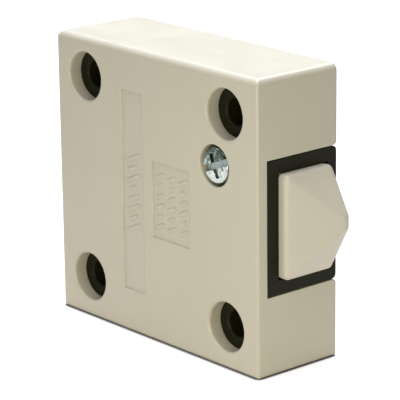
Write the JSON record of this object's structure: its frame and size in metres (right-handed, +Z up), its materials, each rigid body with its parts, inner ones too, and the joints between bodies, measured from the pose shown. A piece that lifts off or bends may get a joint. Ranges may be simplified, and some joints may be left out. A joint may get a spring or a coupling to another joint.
{
  "type": "door contact switch",
  "caption": "Surface-mounted door contact switch for a cupboard lamp: white square cover over a black base, with a spring-loaded wedge plunger at one side.",
  "frame": {"origin": "centre of the four fixing holes, on the mounting face", "axes": "+X the way the plunger points, -Y out of the front of the cover, +Z up; the mounting face is the plane Y = 0"},
  "size_m": [0.057, 0.0173, 0.05],
  "materials": {
    "white_cover": "satin moulded urea plastic, warm off-white",
    "white_plunger": "satin moulded plastic, warm off-white",
    "black_base": "black phenolic moulding",
    "grey_carrier": "grey nylon moulding",
    "zinc_steel": "bright zinc plate",
    "spring_steel": "drawn spring wire",
    "brass_strip": "rolled brass",
    "silver_tip": "silver contact alloy",
    "fibre_board": "pressed insulating fibre"
  },
  "bodies": {
    "housing": {"cover": "white_cover", "base": "black_base", "chamber_lid": "black_base", "lid_screws": "zinc_steel", "return_spring": "spring_steel", "fixed_contact_upper": "brass_strip", "fixed_contact_lower": "brass_strip", "fixed_contact_tips": "silver_tip", "terminal_screws": "zinc_steel", "terminal_washers": "zinc_steel", "terminal_nuts": "brass_strip", "cable_clamp": "black_base", "cable_clamp_screws": "zinc_steel", "cover_screw": "zinc_steel", "cover_nut": "zinc_steel", "insulating_plate": "fibre_board"},
    "plunger": {"plunger": "white_plunger", "contact_carrier": "grey_carrier", "contact_spring": "spring_steel"},
    "bridge": {"contact_bridge": "brass_strip", "bridge_contact_tips": "silver_tip"}
  },
  "joints": [
    {"name": "plunger_slide", "type": "slide", "parent": "housing", "child": "plunger", "axis": [1, 0, 0], "range_m": [-0.005, 0], "stiffness_N_per_m": 400, "springref_m": 0.005, "deforming": ["return_spring"]},
    {"name": "bridge_float", "type": "slide", "parent": "plunger", "child": "bridge", "axis": [1, 0, 0], "range_m": [0, 0.0012], "deforming": ["contact_spring"]}
  ],
  "couplings": [
    {"joint": "bridge_float", "follows": "plunger_slide", "ratio": -0.24}
  ]
}
